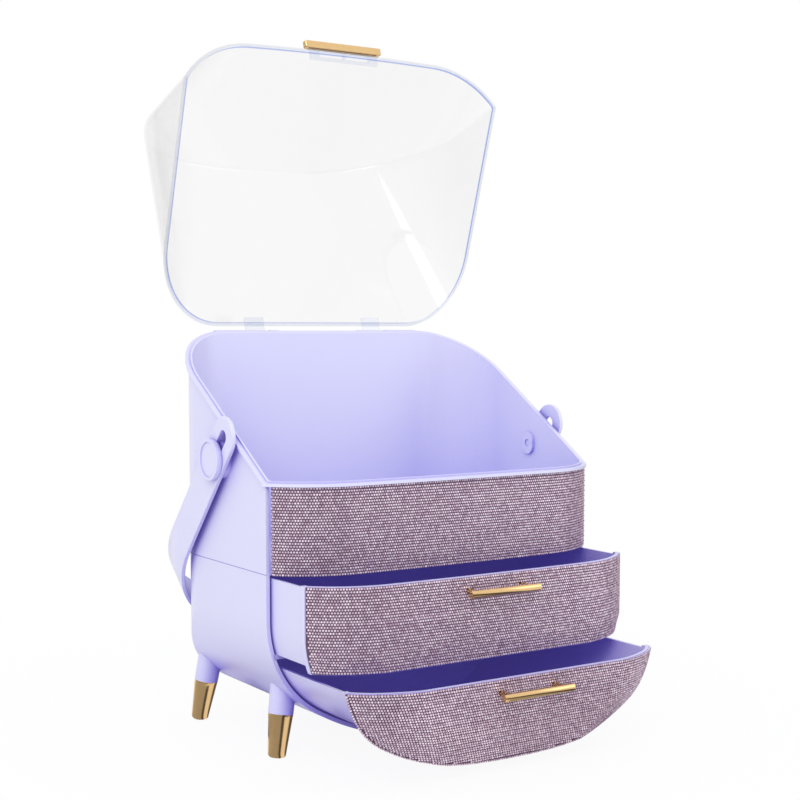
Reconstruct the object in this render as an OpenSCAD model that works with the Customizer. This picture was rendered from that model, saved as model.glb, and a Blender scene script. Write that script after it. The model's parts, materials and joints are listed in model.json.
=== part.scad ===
// Dustproof makeup organizer: a bowl-shaped body on four splayed legs, two bow-fronted
// drawers, a bin under a hinged clear arched lid, and a swinging carry handle.
// X runs to the right, Y to the back and Z up. The drawers stand part open and the lid is up.
// The shapes are drawn with y = 0 at the hood's front edge and z = 0 on the floor,
// and place() then centres them on the origin.

/* [Body] */
// Outer width of the body
body_w = 285; // [265:1:305]
// Depth of the hood, from its front edge to the outside of its back wall
body_d = 162.5; // [150:0.5:180]
// Wall of the two moulded shells
wall = 2.8; // [2:0.1:3.4]
// Height of the bowl's lowest point above the floor
bowl_z = 4; // [3:0.1:12]
// Radius of the bowl's lower side corners, seen from the front
corner_r = 81; // [72:1:88]
// Radius of the bowl's belly between its corners, seen from the front
belly_r = 199; // [185:1:230]
// Radius that rounds the back edges
back_r = 52.5; // [35:0.5:60]
// Height of the joint between the upper and the lower shell
parting_z = 135.6; // [132:0.2:145]
// Height of the straight front part of the rim
rim_z = 200; // [190:1:215]
// Rise of the sloping rim, from the front edge of the hood to its back wall
rim_rise = 103; // [80:1:115]

/* [Fronts] */
// How far the middle of the fronts stands out from the hood's front edge
front_out = 31.7; // [28:0.1:36]
// Radius of the bow across the fronts
bow_r = 2500; // [1200:50:4000]
// Radius of the fronts' upright corners
front_r = 75; // [66:1:90]
// Step from the hood's outside to the fronts' outside
front_step = 3; // [2.4:0.1:4]
// Radius of the lower front's curve, seen from the side
tuck_r = 215; // [160:5:260]
// Height at which the lower front starts to curve under
tuck_z = 102; // [90:1:120]
// Thickness of the rhinestone sheet
trim_t = 1.2; // [0.8:0.1:1.6]

/* [Drawers] */
// Wall of the drawers
drawer_wall = 2.2; // [1.6:0.1:2.6]
// Gap between a drawer and the shell around it
drawer_gap = 1.5; // [1:0.1:2]
// Thickness of the shelf between the drawers
shelf_t = 3.5; // [2.5:0.1:4.5]
// Height of the shelf's underside
shelf_z = 75.5; // [74:0.5:82]
// How far the upper drawer stands out
upper_pull_out = 43; // [0:1:100]
// How far the lower drawer stands out
lower_pull_out = 85; // [0:1:110]
// Length of the drawer pulls
pull_l = 60; // [40:1:80]
// Distance from a front to the face of its pull
pull_out = 14; // [10:0.5:20]

/* [Lid] */
// Thickness of the clear lid
lid_t = 1.8; // [1.4:0.1:2.4]
// Height at which the lid's sides start to curve, above the front rim
arch_spring = 60; // [50:1:66]
// Radius of the arch's shoulders
shoulder_r = 110.7; // [90:0.5:125]
// Radius of the arch's crown
crown_r = 277; // [240:1:320]
// Angle at which the lid stands open
lid_open = 104.8; // [60:0.1:110]
// Radius of the hinge pins
hinge_pin_r = 1.5; // [1:0.1:2]
// Length of the gold grip bar
grip_l = 70; // [50:1:90]

/* [Handle] */
// Distance from the outside of the back wall forward to the handle's pivot
pivot_in = 97; // [90:0.5:110]
// Height of the handle's pivot above the front rim
pivot_up = 12; // [5:1:16]
// Gap between the hanging hand bar and the back wall
handle_gap = 11.5; // [10:0.5:25]
// Thickness of the handle's strap
strap_t = 3.2; // [2.5:0.1:4]
// Width of the strap at its ends
strap_w = 30; // [26:1:34]
// Width of the strap at the hand bar
grip_w = 37; // [30:1:44]
// Radius of the bends beside the hand bar
handle_r = 98; // [85:1:110]
// How far the handle's slots let it slide on its studs
slot_travel = 23; // [10:1:25]
// Angle of the handle below level
handle_drop = 48; // [40:1:50]

/* [Legs] */
// Distance of the feet from the middle of the body
foot_x = 125; // [110:1:128]
// Distance of the front feet behind the hood's front edge
front_foot_y = 19; // [16:1:30]
// Distance of the back feet behind the hood's front edge
back_foot_y = 146; // [125:1:150]
// Sideways splay of the legs
splay_x = 9.3; // [4:0.1:12]
// Splay of the legs to the front and the back
splay_y = 4.6; // [0:0.1:8]
// Radius of a foot at the floor
foot_r = 6.6; // [5.5:0.1:8]
// Length of the gold foot caps
cap_h = 31; // [22:1:36]

/* [Hidden] */
$fn = 96;

lilac = [0.86, 0.86, 0.98];
gold = [0.86, 0.66, 0.36];
mauve = [0.66, 0.55, 0.64];
clear = [0.92, 0.94, 1, 0.35];

far = 400;                 // longer than the whole body
eps = 0.05;                // a cut's overshoot
fit = 0.05;                // clearance of pressed and running fits
gap = 0.3;                 // clearance between pieces that face each other
half_w = body_w / 2;

// Bowl outline, seen from the front
corner_x = half_w - corner_r;
belly_rise = sqrt(pow(belly_r - corner_r, 2) - pow(corner_x, 2));
belly_z = bowl_z + belly_r;
corner_z = belly_z - belly_rise;
belly_half = atan(corner_x / belly_rise);
belly_dip = 0.6;           // the back's rounding starts this far below the belly
back_steps = 24;

// Fronts, seen from above
front_w = half_w - front_step;
flange_d = 5;              // straight edge of a front before its corner's curve
corner_steps = 20;
bow_steps = 12;
edge_slack = 0.3;          // the oblique edges reach this far past the bow
edge_angles = [20, 40, 58];

// Rim and lip
lip_w = 2.5;               // how far the lip stands out from the hood
lip_h = 2.2;
lip_out = 2;               // how far the lip stands out from the fronts
rim_half = half_w + lip_w;
rim_start = 3;             // the rim's straight sides start behind its corners
ridge_t = 1.4;
ridge_h = 1.4;
ridge_in = lip_w + wall - ridge_t;       // from the lip's edge to the raised ridge
ridge_side = 0.4;          // space between the ridge and the lid
rim_slope = rim_rise / body_d;

// Inner parts of the shells
bin_floor_t = 2.5;
seam = 0.5;                // width and depth of the groove at the joint of the shells
tongue_t = 1.2;
tongue_h = 3;
tongue_y = 3;              // the tongue starts this far behind the hood's front edge
groove = 1;                // depth of the shelf's groove in the wall
shelf_in = 1;              // the shelf's front edge lies this far inside the hood
runner_x = 60;
runner_w = 5;
band_edge = 1.5;           // the band's trim ends this far ahead of the hood

// Drawers
tub_in = wall + drawer_gap;
web_t = 2.4;
front_wall = 2.4;
front_gap = 0.4;           // from a shut front to the hood's edge
upper_front_top = parting_z - 0.9;
upper_front_bottom = shelf_z - 1.2;
lower_front_top = upper_front_bottom - 4;
upper_floor_z = shelf_z + shelf_t + gap;
tub_drop = 1.4;            // a drawer's sides are lower than its front by this
trim_in = 0.5;             // bare edge above and below a trim

// Pulls
pull_h = 5;
pull_d = 4;
pull_round = 3.2;          // radius of a pull's front face
post_sink = 0.6;           // depth of a post's seat in its front
post_r = 2.4;
post_in = 7;               // from a pull's end to its post
screw_r = 1.5;
screw_head_r = 3;
screw_head_t = 1.6;
screw_rise = 0.6;          // clears the inside of the front around a screw
screw_sink = 1.4;          // depth of a screw's seat
thread_l = 6;
upper_pull_z = upper_front_top - 10.5;
lower_pull_z = lower_front_top - 10.5;

// Lid, drawn shut
lid_in = ridge_in - ridge_side - lid_t;  // from the lip's edge to the lid's outside
lid_w = rim_half - lid_in;
flange_t = 2.6;
lid_steps = 12;
edge_band = 1;             // straight edge of the lid at its rim and along its arch
flange_lap = 0.6;          // the flange stands out from the lid's side by this
arch_y = 1.3;
hinge_y = body_d + 10;
hinge_z = rim_z + rim_rise - 2;
knuckle_r = 4;
web_h = 3.4;               // height of the webs beside the knuckles' axis
knuckle_l = 17;
knuckle_x0 = 47.5;
knuckle_x1 = knuckle_x0 + knuckle_l;
hinge_side = 1;            // space between knuckles
hinge_in_l = 8.5;
hinge_out_l = 30.5;
leaf_y = body_d - 6;
leaf_z = rim_z + (body_d + lip_w) * rim_slope + gap;
leaf_t = 2.4;
heel_t = 2;
tab_l = 62;
tab_t = 2.4;
tab_z = 2.6;
tab_y0 = -front_out - 6;
tab_d = 12;
window_l = 22;
window_d = 5;
window_rib = 1.8;
grip_d = 6;
grip_bite = 3;             // how far the grip bar reaches over the tab
grip_h = 5;

// Handle
pivot_y = body_d - pivot_in;
pivot_z = rim_z + pivot_up;
handle_reach = pivot_in + handle_gap + grip_w / 2 * sin(handle_drop);
handle_l = handle_reach / cos(handle_drop) + strap_t;
boss_r = 14;
arm_in = rim_half + 2;
boss_t = arm_in - gap - half_w;
arm_out = arm_in + strap_t;
stud_r = 3;
bush_r = 4.9;
slot_r = bush_r + fit;
head_r = 15;
head_t = 4;
head_x = arm_out + gap;
clip_w = 13;
clip_h = 18;
clip_t = 2.6;
dish_t = 1;
dish_edge = 2;

// Legs
leg_taper = 0.081;
foot_round = 3;
foot_sink = 0.4;
spigot_r = 5;
spigot_l = 14;
plug_r = 4;
leg_l = 88;
cap_top_r = foot_r + leg_taper * cap_h;
leg_top_r = 10.2;

// The body stands so that its box, with the lid up and the drawers out, is centred
front_reach = max(upper_pull_out - face_y(upper_pull_z), lower_pull_out - face_y(lower_pull_z)) + pull_out;
arch_top = arch_spring + crown_r - sqrt(pow(crown_r - shoulder_r, 2) - pow(lid_w - shoulder_r, 2));
arch_back = [arch_y - hinge_y, rim_z + arch_top - hinge_z];
back_reach = hinge_y + arch_back[0] * cos(lid_open) + arch_back[1] * sin(lid_open);
origin_y = (back_reach - front_reach) / 2;

module place() {
    translate([0, -origin_y, 0]) children();
}

// Extrudes an outline drawn in X and Z from y0 to y1
module along_y(y0, y1) {
    translate([0, y1, 0]) rotate([90, 0, 0]) linear_extrude(y1 - y0) children();
}

// Extrudes an outline drawn in Y and Z across the whole width
module along_x() {
    translate([-far / 2, 0, 0]) rotate([90, 0, 90]) linear_extrude(far) children();
}

module slab(z0, z1) {
    translate([-far / 2, -far / 2, z0]) cube([far, far * 1.5, z1 - z0]);
}

// The two sides of the machine are alike
module both_sides() {
    children();
    mirror([1, 0, 0]) children();
}

// ---- Body forms ----

// Outline of the bowl and its straight sides, inset by i
module bowl_outline(i) {
    translate([-half_w + i, corner_z]) square([body_w - 2 * i, far - corner_z]);
    translate([-corner_x, corner_z]) circle(corner_r - i);
    translate([corner_x, corner_z]) circle(corner_r - i);
    belly_sector(belly_r - i, 1.3);
}

// The belly's sector, between the lines through the two corner centres
module belly_sector(r, reach) {
    side = reach * belly_r;
    translate([0, belly_z]) intersection() {
        circle(r);
        polygon([[0, 0], [-side * sin(belly_half), -side * cos(belly_half)],
            [side * sin(belly_half), -side * cos(belly_half)]]);
    }
}

// Points along an arc of radius r about (x, y), from angle a0 to a1 in n steps
function arc(x, y, r, a0, a1, n) = [
    for (k = [0:n]) let (a = a0 + (a1 - a0) * k / n) [x + r * cos(a), y + r * sin(a)]
];

// Plan of the hood, inset by i, with rounded back corners
module hood_plan(i, y0) {
    cx = half_w - back_r;
    cy = body_d - back_r;
    polygon(concat([[-half_w + i, y0], [half_w - i, y0]], arc(cx, cy, back_r - i, 0, 90, back_steps),
        arc(-cx, cy, back_r - i, 90, 180, back_steps)));
}

// Side view of the hood, inset by i, with a rounded lower back corner
module hood_side(i, y0) {
    polygon(concat([[y0, far], [y0, bowl_z - belly_dip + i]],
        arc(body_d - back_r, bowl_z - belly_dip + back_r, back_r - i, -90, 0, back_steps), [[body_d - i, far]]));
}

// The hood's solid form, inset by i, starting at y0
module hood(i, y0 = 0) {
    intersection() {
        along_y(y0 - 1, body_d) bowl_outline(i);
        linear_extrude(far) hood_plan(i, y0);
        along_x() hood_side(i, y0 - 1);
    }
}

// Centre of the corner arc of a bow front whose curve starts at x = w, y = y0 and stands out by out
function bow_centre(w, y0, out) =
    let (cy = bow_r - out, d = norm([w, y0 - cy]), a = bow_r - front_r,
        t = (a * a - front_r * front_r + d * d) / (2 * d), h = sqrt(a * a - t * t))
    [(t * w + h * (y0 - cy)) / d, cy + (t * (y0 - cy) - h * w) / d];

// Plan of a bow front, inset by i
module bow_plan(w, y0, out, i, steps = corner_steps) {
    c = bow_centre(w, y0, out);
    start = acos((w - i - c[0]) / (front_r - i));
    half = asin(c[0] / (bow_r - front_r));
    polygon(concat(arc(-c[0], c[1], front_r - i, 180 + start, 270 - half, steps),
        arc(0, bow_r - out, bow_r - i, -90 - half, -90 + half, bow_steps),
        arc(c[0], c[1], front_r - i, -90 + half, -start, steps), [[w - i, far], [-w + i, far]]));
}

// Side view of the fronts, inset by i: upright, then curving under
module tuck_outline(i) {
    translate([-front_out + i, tuck_z]) square([far, far]);
    intersection() {
        translate([-front_out + tuck_r, tuck_z]) circle(tuck_r - i, $fn = 180);
        translate([-front_out, tuck_z - far]) square([tuck_r + eps, far + eps]);
    }
}

// Section across a front's rounded edge, inset by i, with x running out from the bowl's corner centre
module edge_section(i) {
    r = corner_r - front_step;
    reach = front_out + edge_slack;
    cy = front_r - reach;
    cx = r - sqrt(pow(front_r, 2) - pow(cy + flange_d, 2));
    polygon(concat([[-far, far], [-far, -reach + i]],
        arc(cx, cy, front_r - i, -90, asin((1 - cy) / (front_r - i)), corner_steps), [[r + flange_d, far]]));
}

// The rounded edge of the fronts, cut at angle a below the side of one lower corner
module edge_cut(a, i) {
    translate([corner_x, 0, corner_z]) rotate([0, a, 0]) linear_extrude(far * 2, center = true) edge_section(i);
}

// The rounded edge of the fronts around both lower corners
module edge_rounds(i) {
    intersection() {
        edge_cut(edge_angles[0], i);
        edge_cut(edge_angles[1], i);
        edge_cut(edge_angles[2], i);
        mirror([1, 0, 0]) edge_cut(edge_angles[0], i);
        mirror([1, 0, 0]) edge_cut(edge_angles[1], i);
        mirror([1, 0, 0]) edge_cut(edge_angles[2], i);
    }
}

// Solid form of all the fronts in front of the hood's edge, inset by i
module front_form(i) {
    intersection() {
        along_y(-front_out - 1, eps) bowl_outline(front_step + i);
        linear_extrude(far) bow_plan(front_w, -flange_d, front_out, i);
        along_x() tuck_outline(i);
        edge_rounds(i);
    }
}

// Plan of the rim, inset by i from the lip's edge
module rim_plan(i, steps = corner_steps) {
    intersection() {
        bow_plan(rim_half, 0, front_out + lip_out, i, steps);
        translate([-far / 2, -far / 2]) square([far, far / 2 + rim_start]);
    }
    cx = half_w - back_r;
    cy = body_d - back_r;
    r = back_r + lip_w - i;
    w = rim_half - i;
    polygon(concat([[-w, rim_start - eps], [w, rim_start - eps]], arc(cx, cy, r, 0, 90, steps),
        arc(-cx, cy, r, 90, 180, steps)));
}

// Side view of the space between two heights above or below the rim
module rim_band(d0, d1) {
    run = far / 2;
    along_x() polygon([[-run, rim_z + d0], [0, rim_z + d0], [run, rim_z + d0 + run * rim_slope],
        [run, rim_z + d1 + run * rim_slope], [0, rim_z + d1], [-run, rim_z + d1]]);
}

module rim_ring(i0, i1, d0, d1) {
    intersection() {
        linear_extrude(far) difference() {
            rim_plan(i0);
            rim_plan(i1);
        }
        rim_band(d0, d1);
    }
}

// ---- Shells ----

module hinge_knuckle(x0, x1) {
    translate([x0, hinge_y, hinge_z]) rotate([0, 90, 0]) cylinder(r = knuckle_r, h = x1 - x0);
}

// A body knuckle on its bracket behind the back wall
module body_knuckle(x0, x1) {
    hinge_knuckle(x0, x1);
    translate([x0, body_d - wall / 2, hinge_z - web_h])
        cube([x1 - x0, hinge_y - body_d + wall / 2, web_h]);
}

module hinge_bore() {
    translate([-far / 2, hinge_y, hinge_z]) rotate([0, 90, 0]) cylinder(r = hinge_pin_r + fit, h = far);
}

module pivot_bore() {
    translate([-far / 2, pivot_y, pivot_z]) rotate([0, 90, 0]) cylinder(r = stud_r + fit, h = far);
}

// Ring below the upper shell's wall, which fits inside the lower shell's rim
module shell_tongue() {
    intersection() {
        difference() {
            hood(wall - tongue_t);
            hood(wall);
        }
        translate([-far / 2, tongue_y, parting_z - tongue_h]) cube([far, far, tongue_h + eps]);
    }
}

// Shallow groove that marks the joint between the two shells
module seam_groove() {
    translate([-far / 2, -eps, parting_z - eps]) difference() {
        cube([far, far, seam + eps]);
        translate([far / 2, eps, -parting_z]) linear_extrude(far) hood_plan(seam, -eps * 2);
    }
}

module upper_shell() {
    color(lilac) place() difference() {
        union() {
            intersection() {
                union() {
                    hood(0);
                    front_form(trim_t);
                }
                slab(parting_z, far);
                rim_band(-far, 0);
            }
            rim_ring(0, ridge_in + ridge_t, -lip_h, 0);
            rim_ring(ridge_in, ridge_in + ridge_t, -lip_h, ridge_h);
            both_sides() translate([half_w - wall / 2, pivot_y, pivot_z]) rotate([0, 90, 0])
                cylinder(r = boss_r, h = boss_t + wall / 2);
            both_sides() body_knuckle(knuckle_x0 - hinge_side - hinge_in_l, knuckle_x0 - hinge_side);
            both_sides() body_knuckle(knuckle_x1 + hinge_side, knuckle_x1 + hinge_side + hinge_out_l);
            shell_tongue();
        }
        intersection() {
            union() {
                hood(wall);
                front_form(trim_t + wall);
            }
            slab(parting_z + bin_floor_t, far);
            rim_band(-far, -lip_h);
        }
        seam_groove();
        intersection() {
            linear_extrude(far) rim_plan(ridge_in + ridge_t);
            rim_band(-lip_h - eps, far / 2);
        }
        hinge_bore();
        pivot_bore();
    }
}

// Two ribs that the lower drawer runs on
module drawer_runners() {
    intersection() {
        difference() {
            hood(wall - eps);
            hood(wall + drawer_gap - gap);
        }
        for (s = [-1, 1]) translate([s * runner_x - runner_w / 2, 2, 0])
            cube([runner_w, body_d - 2 * back_r, corner_z]);
    }
}

module lower_shell() {
    color(lilac) place() {
        difference() {
            intersection() {
                hood(0);
                slab(0, parting_z);
            }
            hood(wall, -1);
            intersection() {
                hood(wall - tongue_t - fit);
                translate([-far / 2, tongue_y - fit, parting_z - tongue_h - fit]) cube([far, far, far]);
            }
            intersection() {
                hood(wall - groove, -1);
                slab(shelf_z, shelf_z + shelf_t);
            }
            all_legs() cylinder(r = plug_r + fit, h = leg_l);
        }
        drawer_runners();
    }
}

module drawer_shelf() {
    color(lilac) place() intersection() {
        hood(wall - groove);
        translate([-far / 2, shelf_in, shelf_z]) cube([far, far, shelf_t]);
    }
}

module band_trim() {
    color(mauve) place() trim(parting_z, rim_z - lip_h, band_edge);
}

// ---- Drawers, drawn shut ----

// Rhinestone sheet over a front between two heights, ending at y = -edge
module trim(z0, z1, edge) {
    intersection() {
        difference() {
            front_form(0);
            front_form(trim_t);
        }
        translate([-far / 2, -far / 2, z0]) cube([far, far / 2 - edge, z1 - z0]);
    }
}

module drawer(z0, z1, floor_z, pull_z) {
    web_y = -front_gap - web_t;
    difference() {
        union() {
            intersection() {
                hood(tub_in, web_y);
                slab(floor_z, z1 - tub_drop);
            }
            intersection() {
                front_form(trim_t);
                translate([-far / 2, -far / 2, z0]) cube([far, far / 2 - front_gap, z1 - z0]);
            }
            intersection() {
                front_form(0);
                translate([-far / 2, -flange_d, z0]) cube([far, flange_d - front_gap, z1 - z0]);
            }
        }
        intersection() {
            hood(tub_in + drawer_wall, web_y - eps);
            slab(floor_z + drawer_wall, far);
        }
        intersection() {
            front_form(trim_t + front_wall);
            translate([-far / 2, -far, z0 + front_wall]) cube([far, far + web_y, far]);
        }
        pull_bores(pull_z);
    }
}

// How far back the middle of a front lies at height z
function face_y(z) = -front_out + (z < tuck_z ? tuck_r - sqrt(pow(tuck_r, 2) - pow(tuck_z - z, 2)) : 0);

// Places its children at a pull's two posts, looking forward
module at_posts(y, z) {
    for (s = [-1, 1]) translate([s * (pull_l / 2 - post_in), y, z]) rotate([90, 0, 0]) children();
}

// Seats for a pull's posts and screws in a front
module pull_bores(z) {
    y = face_y(z) + trim_t;
    at_posts(y + post_sink, z) cylinder(r = post_r + fit, h = far);
    at_posts(y + front_wall + screw_rise, z) cylinder(r = screw_r + fit, h = far);
    at_posts(y + front_wall + screw_rise, z) translate([0, 0, -far / 4])
        cylinder(r = screw_head_r + fit, h = far / 4 + screw_sink);
}

// Bar with a rounded front face on two posts
module pull(z) {
    y = face_y(z) + trim_t;
    bar_y = face_y(z) - pull_out;
    difference() {
        union() {
            at_posts(y + post_sink, z) cylinder(r = post_r, h = y + post_sink - bar_y - pull_d / 2);
            translate([-pull_l / 2, 0, z]) rotate([90, 0, 90]) linear_extrude(pull_l) intersection() {
                translate([bar_y + pull_round, 0]) circle(pull_round);
                translate([bar_y, -pull_h / 2]) square([pull_d, pull_h]);
            }
        }
        at_posts(y + post_sink + eps, z) cylinder(r = screw_r + fit, h = thread_l + eps);
    }
}

module pull_screws(z) {
    y = face_y(z) + trim_t;
    at_posts(y + front_wall + screw_rise - screw_sink, z) {
        cylinder(r = screw_r, h = front_wall + screw_rise - screw_sink - post_sink + thread_l - gap);
        translate([0, 0, -screw_head_t]) cylinder(r = screw_head_r, h = screw_head_t);
    }
}

module upper_out() {
    place() translate([0, -upper_pull_out, 0]) children();
}

module lower_out() {
    place() translate([0, -lower_pull_out, 0]) children();
}

module upper_drawer() {
    color(lilac) upper_out() drawer(upper_front_bottom, upper_front_top, upper_floor_z, upper_pull_z);
}

module upper_drawer_trim() {
    color(mauve) upper_out() difference() {
        trim(upper_front_bottom + trim_in, upper_front_top - trim_in, flange_d);
        pull_bores(upper_pull_z);
    }
}

module upper_drawer_pull() {
    color(gold) upper_out() pull(upper_pull_z);
}

module upper_pull_screws() {
    color(gold) upper_out() pull_screws(upper_pull_z);
}

module lower_drawer() {
    color(lilac) lower_out() drawer(0, lower_front_top, 0, lower_pull_z);
}

module lower_drawer_trim() {
    color(mauve) lower_out() difference() {
        trim(0, lower_front_top - trim_in, flange_d);
        pull_bores(lower_pull_z);
    }
}

module lower_drawer_pull() {
    color(gold) lower_out() pull(lower_pull_z);
}

module lower_pull_screws() {
    color(gold) lower_out() pull_screws(lower_pull_z);
}

// ---- Lid, drawn shut and then swung up ----

module lid_up() {
    place() translate([0, hinge_y, hinge_z]) rotate([-lid_open, 0, 0])
        translate([0, -hinge_y, -hinge_z]) children();
}

// Front view of the arch above height z = rim_z + arch_spring, inset by i
module arch_outline(i) {
    cx = lid_w - shoulder_r;
    half = asin(cx / (crown_r - shoulder_r));
    crown_z = -sqrt(pow(crown_r - shoulder_r, 2) - pow(cx, 2));
    translate([0, rim_z + arch_spring]) intersection() {
        union() {
            for (s = [-1, 1]) translate([s * cx, 0]) circle(shoulder_r - i, $fn = 64);
            intersection() {
                translate([0, crown_z]) circle(crown_r - i, $fn = 128);
                polygon([[0, crown_z], [crown_r * 1.1 * sin(half), crown_z + crown_r * 1.1 * cos(half)],
                    [-crown_r * 1.1 * sin(half), crown_z + crown_r * 1.1 * cos(half)]]);
            }
        }
        translate([-far / 2, 0]) square([far, far]);
    }
}

// The lid's arched form, inset by i: rim outline below, arch above
module lid_form(i, drop) {
    hull() {
        intersection() {
            linear_extrude(far * 2) rim_plan(lid_in + i, lid_steps);
            rim_band(gap + flange_lap - drop, gap + flange_lap + edge_band);
        }
        along_y(arch_y + i, arch_y + i + edge_band) arch_outline(i);
    }
}

module lid_knuckle(x0, x1) {
    hinge_knuckle(x0, x1);
    translate([x0, leaf_y, leaf_z]) cube([x1 - x0, hinge_y - leaf_y, leaf_t]);
    translate([x0, hinge_y - leaf_t, hinge_z]) cube([x1 - x0, leaf_t + web_h, leaf_z + leaf_t - hinge_z]);
    // heel that meets the back wall when the lid is up
    translate([x0, hinge_y, hinge_z]) rotate([lid_open, 0, 0]) translate([0, -hinge_y + body_d + gap, -web_h])
        cube([x1 - x0, hinge_y - body_d - gap, heel_t]);
}

module lid() {
    color(clear) lid_up() difference() {
        union() {
            difference() {
                lid_form(0, 0);
                lid_form(lid_t, lid_t);
            }
            rim_ring(lid_in - flange_lap, lid_in + lid_t, gap, gap + flange_t);
            both_sides() lid_knuckle(knuckle_x0, knuckle_x1);
            grip_tab();
        }
        hinge_bore();
    }
}

// Tab on the lid's front edge, with two windows, that carries the grip bar
module grip_tab() {
    difference() {
        translate([-tab_l / 2, tab_y0, rim_z + tab_z]) cube([tab_l, tab_d, tab_t]);
        for (s = [-1, 1]) translate([s * (window_l / 2 + window_rib / 2) - window_l / 2, tab_y0 + grip_bite + window_rib, 0])
            cube([window_l, window_d, far]);
    }
}

module lid_grip() {
    color(gold) lid_up() difference() {
        translate([-grip_l / 2, tab_y0 - grip_d + grip_bite, rim_z + tab_z + tab_t / 2 - grip_h / 2])
            cube([grip_l, grip_d, grip_h]);
        translate([-tab_l / 2 - fit, tab_y0, rim_z + tab_z - fit])
            cube([tab_l + 2 * fit, tab_d, tab_t + 2 * fit]);
    }
}

module hinge_pin() {
    place() translate([knuckle_x0 - hinge_side - hinge_in_l, hinge_y, hinge_z]) rotate([0, 90, 0])
        cylinder(r = hinge_pin_r, h = hinge_in_l + 2 * hinge_side + knuckle_l + hinge_out_l);
}

module left_hinge_pin() {
    color(lilac) mirror([1, 0, 0]) hinge_pin();
}

module right_hinge_pin() {
    color(lilac) hinge_pin();
}

// ---- Handle ----

// Carries its children from the arm's own frame, with Y along the arm, to the pivot
module on_arm() {
    place() translate([0, pivot_y, pivot_z]) rotate([-handle_drop, 0, 0]) children();
}

// Front view of the handle's bow, inset by i, with its ends run on by reach
module bow_outline(i, reach) {
    w = arm_out - i;
    translate([-w, -reach]) square([2 * w, reach + handle_l - handle_r]);
    translate([-(arm_out - handle_r), 0]) square([2 * (arm_out - handle_r), handle_l - i]);
    for (s = [-1, 1]) translate([s * (arm_out - handle_r), handle_l - handle_r]) circle(handle_r - i, $fn = 180);
}

// Side view of the strap: round ends, widening to the hand bar
module strap_outline() {
    translate([-slot_travel, 0]) circle(strap_w / 2);
    polygon([[-slot_travel, -strap_w / 2], [handle_l - handle_r, -strap_w / 2], [handle_l + eps, -grip_w / 2],
        [handle_l + eps, grip_w / 2], [handle_l - handle_r, strap_w / 2], [-slot_travel, strap_w / 2]]);
}

module slot_outline() {
    for (y = [-slot_travel, 0]) translate([y, 0]) circle(slot_r);
    translate([-slot_travel, -slot_r]) square([slot_travel, 2 * slot_r]);
}

module across_arm(w) {
    translate([-w / 2, 0, 0]) rotate([90, 0, 90]) linear_extrude(w) children();
}

module handle() {
    color(lilac) on_arm() difference() {
        intersection() {
            translate([0, 0, -grip_w]) linear_extrude(2 * grip_w) difference() {
                bow_outline(0, 2 * strap_w);
                bow_outline(strap_t, 2 * strap_w + eps);
            }
            across_arm(far) strap_outline();
        }
        across_arm(far) slot_outline();
    }
}

// Places its children on the right-hand pivot's axis at x, looking outward
module at_pivot(x) {
    place() translate([x, pivot_y, pivot_z]) rotate([0, 90, 0]) children();
}

module slot_bush() {
    at_pivot(arm_in - gap + fit) difference() {
        cylinder(r = bush_r, h = strap_t + 2 * (gap - fit));
        translate([0, 0, -eps]) cylinder(r = stud_r + fit, h = far);
    }
}

// Stud through the slot, with a dished head outside and a plain end inside
module pivot_stud() {
    at_pivot(half_w - wall - clip_t + dish_t) cylinder(r = stud_r, h = head_x - half_w + wall + clip_t);
    at_pivot(head_x) difference() {
        cylinder(r = head_r, h = head_t);
        translate([0, 0, head_t - dish_t]) cylinder(r = head_r - dish_edge, h = far);
    }
}

// Rounded plate that holds a stud's end inside the bin
module stud_clip() {
    at_pivot(half_w - wall - clip_t) linear_extrude(clip_t) difference() {
        union() {
            for (s = [-1, 1]) translate([s * (clip_h - clip_w) / 2, 0]) circle(clip_w / 2);
            square([clip_h - clip_w, clip_w], center = true);
        }
        circle(stud_r + fit);
    }
}

module left_slot_bush() {
    color(lilac) mirror([1, 0, 0]) slot_bush();
}

module right_slot_bush() {
    color(lilac) slot_bush();
}

module left_pivot_stud() {
    color(lilac) mirror([1, 0, 0]) pivot_stud();
}

module right_pivot_stud() {
    color(lilac) pivot_stud();
}

module left_stud_clip() {
    color(lilac) mirror([1, 0, 0]) stud_clip();
}

module right_stud_clip() {
    color(lilac) stud_clip();
}

// ---- Legs ----

// Places its children on a leg's axis: side is -1 or 1 for left or right, way -1 or 1 for front or back
module at_leg(side, way) {
    translate([side * foot_x, way < 0 ? front_foot_y : back_foot_y, 0])
        rotate([way * splay_y, -side * splay_x, 0]) children();
}

module all_legs() {
    for (side = [-1, 1]) for (way = [-1, 1]) at_leg(side, way) children();
}

module leg(side, way) {
    color(lilac) place() {
        difference() {
            at_leg(side, way) {
                translate([0, 0, cap_h]) cylinder(r1 = cap_top_r, r2 = leg_top_r, h = leg_l - cap_h);
                translate([0, 0, cap_h - spigot_l]) cylinder(r = spigot_r, h = spigot_l + eps);
            }
            hood(0);
        }
        intersection() {
            at_leg(side, way) translate([0, 0, cap_h]) cylinder(r = plug_r, h = leg_l);
            difference() {
                hood(-eps);
                hood(wall);
            }
            slab(0, shelf_z);
        }
    }
}

module foot(side, way) {
    color(gold) place() intersection() {
        at_leg(side, way) difference() {
            translate([0, 0, -foot_sink]) rotate_extrude() {
                translate([0, foot_round]) polygon([[0, 0], [foot_r, 0], [cap_top_r, cap_h - foot_round + foot_sink],
                    [0, cap_h - foot_round + foot_sink]]);
                square([foot_r - foot_round, foot_round + eps]);
                intersection() {
                    translate([foot_r - foot_round, foot_round]) circle(foot_round);
                    square([foot_r, foot_round + eps]);
                }
            }
            translate([0, 0, cap_h - spigot_l - fit]) cylinder(r = spigot_r + fit, h = far);
        }
        slab(0, far);
    }
}

module front_left_leg() {
    leg(-1, -1);
}

module front_right_leg() {
    leg(1, -1);
}

module back_left_leg() {
    leg(-1, 1);
}

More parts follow.
